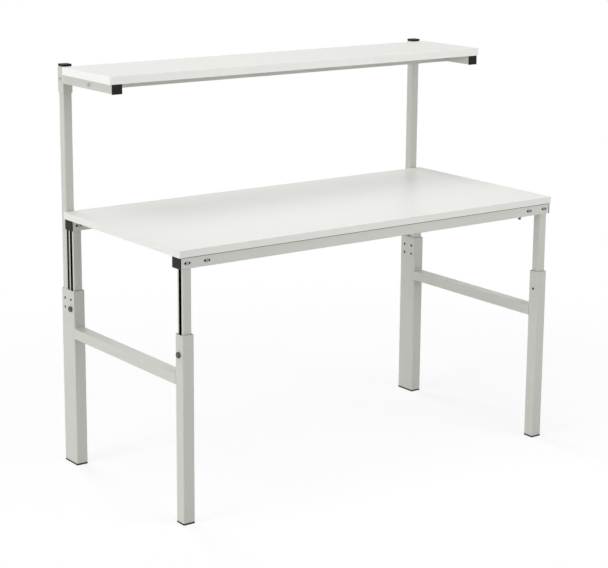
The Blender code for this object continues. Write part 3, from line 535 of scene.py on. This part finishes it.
def addEased(node, finish, width):
    source = frame["nodes"][node]
    shape = bmesh.new()
    shape.from_mesh(source.data)
    bmesh.ops.remove_doubles(shape, verts=shape.verts, dist=samePlace)
    bmesh.ops.dissolve_limit(
        shape, angle_limit=easing["flat"], verts=shape.verts, edges=shape.edges,
        use_dissolve_boundaries=False)
    rims = [e for e in shape.edges
            if len(e.link_faces) == 2 and e.calc_face_angle() > easing["sharp"]]
    bevel(shape, rims, width, easing["segments"])
    bmesh.ops.triangulate(shape, faces=[f for f in shape.faces if len(f.verts) > 4])
    loose = [e for e in shape.edges if not e.is_manifold]
    print("  ", node, len(shape.faces), "faces", len(loose), "loose edges")
    addPiece(node + "_finished", shape, finish, bodyOf[node], [node])


tubeFinish = {"front_beam": "frontBeamCoat", "rear_beam": "rearBeamCoat", "shelf_beam": "coat"}
capNodes = []
for side in ("left", "right"):
    tubeFinish.update({
        f"front_leg_{side}": "frontLegCoat",
        f"rear_leg_{side}": "rearLegCoat",
        f"cross_bar_{side}": "coat",
        f"upright_{side}": "uprightCoat",
        f"shelf_bracket_{side}": "coat",
        f"inner_leg_front_{side}": "frontInnerLegCoat",
        f"inner_leg_rear_{side}": "rearInnerLegCoat",
    })
    capNodes += [f"{name}_{side}" for name in (
        "front_foot", "rear_foot", "upright_cap", "arm_cap", "glide_front", "glide_rear",
        "beam_cap_front", "beam_cap_rear")]
for node, finishName in tubeFinish.items():
    addEased(node, finishName, easing["tube"])
for node in capNodes:
    addEased(node, "plastic", easing["cap"])
print("tubes and caps made")


# screws, bolts and the stud: turned on their own axis, then laid where the node is
turning = {
    "steps": 48,
    "domeSteps": 8,
    "socketTaper": 0.0005,
    "underLift": 0.0001,  # a fine chamfer under a button head
    "underInset": 0.0002,
}


def turnedShape(profile):
    # radius and height pairs from the top down, spun all the way round
    shape = bmesh.new()
    points = [shape.verts.new((radius, 0, height)) for radius, height in profile]
    edges = [shape.edges.new(pair) for pair in zip(points, points[1:])]
    bmesh.ops.spin(
        shape, geom=points + edges, cent=(0, 0, 0), axis=(0, 0, 1), angle=math.tau,
        steps=turning["steps"], use_merge=True)
    bmesh.ops.remove_doubles(shape, verts=shape.verts, dist=samePlace)
    bmesh.ops.recalc_face_normals(shape, faces=shape.faces)
    return shape


def ringAt(shape, radius, height):
    return [v for v in shape.verts
            if abs(math.hypot(v.co.x, v.co.y) - radius) < samePlace
            and abs(v.co.z - height) < samePlace]


def toHexagon(verts, acrossFlats):
    for vert in verts:
        angle = math.atan2(vert.co.y, vert.co.x) % (math.pi / 3) - math.pi / 6
        vert.co.xy = vert.co.xy.normalized() * acrossFlats / 2 / math.cos(angle)


def sinkSocket(shape, acrossFlats, depth):
    # the open rim becomes a hexagon and goes down into the head
    rim = [e for e in shape.edges if e.is_boundary]
    toHexagon({v for e in rim for v in e.verts}, acrossFlats)
    made = bmesh.ops.extrude_edge_only(shape, edges=rim)["geom"]
    lower = [part for part in made if isinstance(part, bmesh.types.BMVert)]
    bmesh.ops.translate(shape, vec=(0, 0, -depth), verts=lower)
    lowerEdges = [e for e in shape.edges if e.is_boundary]
    bottom = bmesh.ops.contextual_create(shape, geom=lowerEdges)["faces"]
    bmesh.ops.poke(shape, faces=bottom, offset=-turning["socketTaper"])
    bmesh.ops.recalc_face_normals(shape, faces=shape.faces)


def seatOf(node, direction, headHeight):
    # the middle of the head's underside, and how far the shank goes in from there
    low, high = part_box(node)
    axis = [abs(part) for part in direction].index(1)
    seat = (low + high) / 2
    seat[axis] = (high if direction[axis] > 0 else low)[axis] - direction[axis] * headHeight
    return seat, high[axis] - low[axis] - headHeight


def layOut(shape, direction, place):
    turn = Vector(direction).to_track_quat("Z", "Y").to_matrix()
    bmesh.ops.rotate(shape, cent=(0, 0, 0), matrix=turn, verts=shape.verts)
    bmesh.ops.translate(shape, vec=place, verts=shape.verts)


def addFastener(node, direction, place, shape, finish):
    layOut(shape, direction, place)
    addPiece(node + "_turned", shape, finish, bodyOf[node], [node])


def addButtonScrew(node, direction, kind):
    head, socket, shank = kind["head"] / 2, kind["socket"], kind["shank"] / 2
    height = kind["height"]
    seat, length = seatOf(node, direction, height)
    flat = socket / 2 / math.cos(math.pi / 6) + kind["rim"]
    side = height * kind["sideShare"]
    profile = [(socket / 2, height), (flat, height)]
    for step in range(1, turning["domeSteps"] + 1):
        angle = math.pi / 2 * step / turning["domeSteps"]
        profile.append((
            flat + (head - flat) * math.sin(angle), side + (height - side) * math.cos(angle)))
    profile += [
        (head, turning["underLift"]), (head - turning["underInset"], 0), (shank, 0),
        (shank, -length), (0, -length)]
    shape = turnedShape(profile)
    sinkSocket(shape, socket, kind["socketDepth"])
    addFastener(node, direction, seat, shape, kind["finish"])


beamScrew = {"head": 0.0108, "height": 0.0024, "socket": 0.005, "socketDepth": 0.0016,
             "shank": 0.0076, "rim": 0.0003, "sideShare": 0.3, "finish": "dullZinc"}
shelfScrew = {"head": 0.013, "height": 0.0045, "socket": 0.005, "socketDepth": 0.0028,
              "shank": 0.0076, "rim": 0.0003, "sideShare": 0.2, "finish": "zinc"}
collarScrew = {"head": 0.010, "height": 0.0035, "socket": 0.004, "socketDepth": 0.0018,
               "shank": 0.0056, "rim": 0.0003, "sideShare": 0.2, "finish": "zinc"}
setScrew = {"width": 0.0084, "socket": 0.004, "socketDepth": 0.004, "chamfer": 0.0005}
clampBolt = {"width": 0.017, "height": 0.0065, "shank": 0.0096, "topRound": 0.0082, "foot": 0.0004,
             "dish": 0.0045, "dishDepth": 0.0006, "dishSlope": 0.0004,
             "chamferSlope": math.tan(math.radians(30))}


def addSetScrew(node, direction):
    seat, length = seatOf(node, direction, 0)
    radius, chamfer = setScrew["width"] / 2, setScrew["chamfer"]
    shape = turnedShape([
        (setScrew["socket"] / 2, 0), (radius - chamfer, 0), (radius, -chamfer),
        (radius, chamfer - length), (radius - chamfer, -length), (0, -length)])
    sinkSocket(shape, setScrew["socket"], setScrew["socketDepth"])
    addFastener(node, direction, seat, shape, "darkSteel")


def addClampBolt(node, direction):
    # a hexagon with a turned top: the corners fall away from it
    height, shank = clampBolt["height"], clampBolt["shank"] / 2
    seat, length = seatOf(node, direction, height)
    dish, dished = clampBolt["dish"], height - clampBolt["dishDepth"]
    wide, topRound, foot = clampBolt["width"] / 2, clampBolt["topRound"], clampBolt["foot"]
    shape = turnedShape([
        (0, dished), (dish, dished), (dish + clampBolt["dishSlope"], height), (topRound, height),
        (wide, height), (wide, foot), (topRound, 0), (shank, 0), (shank, -length), (0, -length)])
    upper = ringAt(shape, wide, height)
    toHexagon(upper + ringAt(shape, wide, foot), clampBolt["width"])
    for vert in upper:
        vert.co.z -= (math.hypot(vert.co.x, vert.co.y) - topRound) * clampBolt["chamferSlope"]
    addFastener(node, direction, seat, shape, "darkSteel")


stud = {  # radius and height from the underside of the beam
    "rivet": [(0, 0.0035), (0.0034, 0.0035), (0.00375, 0.0031), (0.00375, 0.0023),
              (0.002, 0.0023)],
    "collar": [(0.002, -0.0003), (0.0057, -0.0003), (0.006, -0.0006), (0.006, -0.0012),
               (0.0057, -0.0015), (0.00425, -0.0015)],
    "knob": [(0.00415, -0.0037), (0.0046, -0.0043), (0.005, -0.0051), (0.005, -0.0072),
             (0.0047, -0.0081), (0.0040, -0.0092), (0.0034, -0.0095), (0.0024, -0.0091),
             (0.0016, -0.0082), (0, -0.0081)],
}


def addStud(node, under):
    low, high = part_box(node)
    place = (low + high) / 2
    place.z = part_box(under)[0].z
    shape = turnedShape(stud["rivet"] + stud["collar"] + stud["knob"])
    addFastener(node, (0, 0, 1), place, shape, "darkSteel")


for side, outward in (("left", -1), ("right", 1)):
    for row in ("front", "rear"):
        for number in (1, 2):
            addButtonScrew(f"beam_screw_{row}_{side}_{number}", (0, -1, 0), beamScrew)
        addClampBolt(f"clamp_bolt_{row}_{side}", (outward, 0, 0))
    addButtonScrew(f"shelf_beam_screw_{side}", (outward, 0, 0), shelfScrew)
    addButtonScrew(f"collar_screw_{side}", (outward, 0, 0), collarScrew)
    addSetScrew(f"upright_screw_{side}", (outward, 0, 0))
addStud("grounding_stud", "front_beam")
print("screws, bolts and stud made")

# the clamp plates keep their CAD meshes
for node, thing in frame["nodes"].items():
    if node.startswith("clamp_plate"):
        for slot in thing.material_slots:
            slot.material = finishes["zinc"]


# weld beads along the corners where a bar meets a tube
weld = {
    "radius": 0.0022,
    "sides": 12,
    "steps": 34,
    "ripple": 0.10,
    "rippleLength": 0.0042,
    "taper": 0.006,
    "thinEnd": 0.35,
    "barMargin": 0.006,  # how much shorter than the cross bar's width its beads are
}
bracketWeld = {
    "collarWall": 0.0025,  # with the collar's play on the upright
    "capLip": 0.001,
    "length": 0.030,
}


def beadShape(centre, length):
    # a short rope of metal along x, rippled and thin at its ends
    shape = bmesh.new()
    sideways = Matrix.Rotation(math.pi / 2, 3, "Y")
    bmesh.ops.create_circle(shape, cap_ends=True, segments=weld["sides"], radius=weld["radius"])
    bmesh.ops.rotate(shape, cent=(0, 0, 0), matrix=sideways, verts=shape.verts)
    bmesh.ops.translate(shape, vec=(-length / 2, 0, 0), verts=shape.verts)
    ends = list(shape.faces)
    for step in range(weld["steps"]):
        made = bmesh.ops.extrude_face_region(shape, geom=ends, use_keep_orig=step == 0)["geom"]
        ends = [part for part in made if isinstance(part, bmesh.types.BMFace)]
        moved = [part for part in made if isinstance(part, bmesh.types.BMVert)]
        bmesh.ops.translate(shape, vec=(length / weld["steps"], 0, 0), verts=moved)
    for vert in shape.verts:
        fromEnd = length / 2 - abs(vert.co.x)
        swell = 1 + weld["ripple"] * math.sin(math.tau * vert.co.x / weld["rippleLength"])
        swell *= min(1, weld["thinEnd"] + (1 - weld["thinEnd"]) * fromEnd / weld["taper"])
        vert.co.y *= swell
        vert.co.z *= swell
    bmesh.ops.recalc_face_normals(shape, faces=shape.faces)
    bmesh.ops.translate(shape, vec=centre, verts=shape.verts)
    return shape


def addBeads(name, body, places, length):
    joined = bmesh.new()
    for place in places:
        bead = beadShape(place, length)
        part = bpy.data.meshes.new(name + "_part")
        bead.to_mesh(part)
        bead.free()
        joined.from_mesh(part)
        bpy.data.meshes.remove(part)
    addPiece(name, joined, "coat", body)


for side in ("left", "right"):
    low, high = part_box(f"cross_bar_{side}")
    places = [((low.x + high.x) / 2, y, z) for y in (low.y, high.y) for z in (low.z, high.z)]
    addBeads(f"cross_bar_weld_{side}", "base", places, high.x - low.x - weld["barMargin"])
    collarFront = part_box(f"upright_{side}")[0].y - bracketWeld["collarWall"]
    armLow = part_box(f"arm_cap_{side}")[0].z + bracketWeld["capLip"]
    place = (middleOf(f"shelf_bracket_{side}").x, collarFront, armLow)
    addBeads(f"bracket_weld_{side}", "shelf", [place], bracketWeld["length"])
print("weld beads made")


# painted shade: a thin black strip on the front of each upright, between the rear leg and the rear
# beam, stands in for the shade in the narrow gap behind the inner leg
strip = {
    "lift": 0.002,
    "thickness": 0.0021,
    "fromUpright": 0.0001,
    "inset": 0.0006,
    "width": 0.0042,
    "round": 0.0006,
    "segments": 2,
}
for side, outward in (("left", -1), ("right", 1)):
    low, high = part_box(f"upright_{side}")
    rear = low.y - strip["fromUpright"]
    outer = (low.x if outward < 0 else high.x) - outward * strip["inset"]
    inner = outer - outward * strip["width"]
    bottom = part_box(f"rear_leg_{side}")[1].z + strip["lift"]
    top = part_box("rear_beam")[0].z - strip["lift"]
    shape = boxBetween(
        (min(outer, inner), rear - strip["thickness"], bottom), (max(outer, inner), rear, top))
    bevel(shape, edgesAlong(shape, 2), strip["round"], strip["segments"])
    addPiece(f"painted_shade_strip_{side}", shape, "plastic", "base")
print("painted shade strips made")

# painted shadow: a thin black strip in the groove between the worktop and the front of its beam
# stands in for the shadow line there
shadowStrip = {
    "height": 0.0018,
    "depth": 0.0012,
    "gap": 0.00005,
    "inset": 0.004,
    "round": 0.00045,
    "segments": 2,
}
low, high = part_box("front_beam")
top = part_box("worktop")[0].z - shadowStrip["gap"]
shape = boxBetween(
    (low.x + shadowStrip["inset"], low.y - shadowStrip["gap"] - shadowStrip["depth"], top - shadowStrip["height"]),
    (high.x - shadowStrip["inset"], low.y - shadowStrip["gap"], top))
bevel(shape, edgesAlong(shape, 0), shadowStrip["round"], shadowStrip["segments"])
addPiece("beam_shadow_strip", shape, "plastic", "table")
print("beam shadow strip made")


stage = {
    "floorRadius": 30.0,
    "floorSegments": 96,
    "floorDrop": 0.0005,
    "floorAlbedo": 0.75,
    "shadowShare": 0.22,  # how much of the floor's look comes from light, the rest is plain white
    "shadowStart": 1.3,  # from here outwards that share falls away
    "shadowEnd": 2.6,
    "worldLight": 0.23,
}


def addFloor():
    shape = bmesh.new()
    bmesh.ops.create_circle(
        shape, cap_ends=True, segments=stage["floorSegments"], radius=stage["floorRadius"])
    bmesh.ops.translate(shape, vec=(0, 0, -stage["floorDrop"]), verts=shape.verts)
    mesh = bpy.data.meshes.new("floor")
    shape.to_mesh(mesh)
    shape.free()
    finish = Finish("floor")
    distance = finish.node(
        "ShaderNodeVectorMath", {"operation": "LENGTH"}, [finish.place()], output="Value")
    lit = finish.node("ShaderNodeMapRange", {"interpolation_type": "SMOOTHSTEP"}, {
        "Value": distance, "From Min": stage["shadowStart"], "From Max": stage["shadowEnd"],
        "To Min": stage["shadowShare"], "To Max": 0.0})
    grey = shade(1, 1, 1, stage["floorAlbedo"])
    plain = finish.node("ShaderNodeBsdfDiffuse", values={"Color": grey})
    soft = finish.node("ShaderNodeBsdfDiffuse", values={"Color": white})
    glow = finish.node("ShaderNodeEmission", values={"Color": white, "Strength": 1.0})
    lifted = finish.node("ShaderNodeMixShader", values=[lit, glow, soft])
    mixed = finish.node("ShaderNodeMixShader", values=[finish.plainRays(), plain, lifted])
    mesh.materials.append(finish.surface(mixed))
    floor = bpy.data.objects.new("floor", mesh)
    bpy.context.scene.collection.objects.link(floor)


def setWorld():
    world = bpy.data.worlds.new("studio")
    bpy.context.scene.world = world
    world.use_nodes = True
    finish = Finish("studio", world.node_tree)
    rays = finish.plainRays()
    shown = rays.maths("MINIMUM", rays, 1.0)
    strength = stage["worldLight"] + shown * (1 - stage["worldLight"])
    sky = finish.node("ShaderNodeBackground", values={"Color": white, "Strength": strength})
    finish.node("ShaderNodeOutputWorld", values=[sky], output=None)


# the watts fit the greys of the photograph
lamps = {
    # name: (place, aim, size, watts, whether gloss mirrors it)
    "left": ((-9.0, -0.5, 2.4), (0, 0, 0.7), 4.0, 381.0, False),
    "right": ((8.0, 0.0, 3.0), (0, 0, 0.7), 5.0, 42.0, False),
    "top": ((-1.8, 0.0, 6.0), (0, 0, 0.8), 4.0, 88.0, False),
    "frontHigh": ((0.8, -3.0, 4.5), (0, 0, 0.8), 2.5, 30.0, False),
    "frontRight": ((2.5, -3.8, 2.4), (0, 0, 0.8), 2.0, 44.0, False),
    "front": ((0.5, -4.0, 2.2), (0, 0, 0.9), 2.0, 9.0, True),
    "frontLeft": ((-0.3, -2.2, 2.0), (0, 0, 0.9), 1.5, 7.0, False),
    "back": ((0.0, 8.0, 4.0), (0, 0, 0.9), 4.0, 365.0, False),
}


def addLamp(name, place, aim, size, watts, mirrored):
    light = bpy.data.lights.new(name, "AREA")
    light.shape = "DISK"
    light.size = size
    light.energy = watts
    lamp = bpy.data.objects.new(name, light)
    lamp.location = place
    lamp.rotation_euler = (Vector(aim) - Vector(place)).to_track_quat("-Z", "Y").to_euler()
    lamp.visible_glossy = mirrored
    bpy.context.scene.collection.objects.link(lamp)


view = {
    "imageWidth": 608,
    "focalPixels": 1763.3,
    "place": (-3.4417, -4.6324, 1.9961),
    "yaw": 36.407,  # degrees clockwise from +Y, seen from above
    "pitch": -12.429,
    "roll": 0.449,
    "riseShare": 0.07,  # lens shift as a share of the image width; the other views keep it
    "sensorWidth": 36.0,
}


def addCamera():
    yaw, pitch, roll = (math.radians(view[key]) for key in ("yaw", "pitch", "roll"))
    forward = Vector((
        math.sin(yaw) * math.cos(pitch), math.cos(yaw) * math.cos(pitch), math.sin(pitch)))
    level = Vector((math.cos(yaw), -math.sin(yaw), 0))
    upright = level.cross(forward)
    right = level * math.cos(roll) + upright * math.sin(roll)
    up = upright * math.cos(roll) - level * math.sin(roll)
    lens = bpy.data.cameras.new("camera")
    lens.sensor_width = view["sensorWidth"]
    lens.lens = view["focalPixels"] / view["imageWidth"] * view["sensorWidth"]
    lens.shift_y = -view["riseShare"]
    camera = bpy.data.objects.new("camera", lens)
    turn = Matrix((right, up, -forward)).transposed()
    camera.matrix_world = Matrix.Translation(view["place"]) @ turn.to_4x4()
    bpy.context.scene.collection.objects.link(camera)
    bpy.context.scene.camera = camera


addFloor()
setWorld()
for lampName, lampValues in lamps.items():
    addLamp(lampName, *lampValues)
addCamera()
bpy.context.scene.view_settings.view_transform = "Standard"
print("stage, light and camera made")
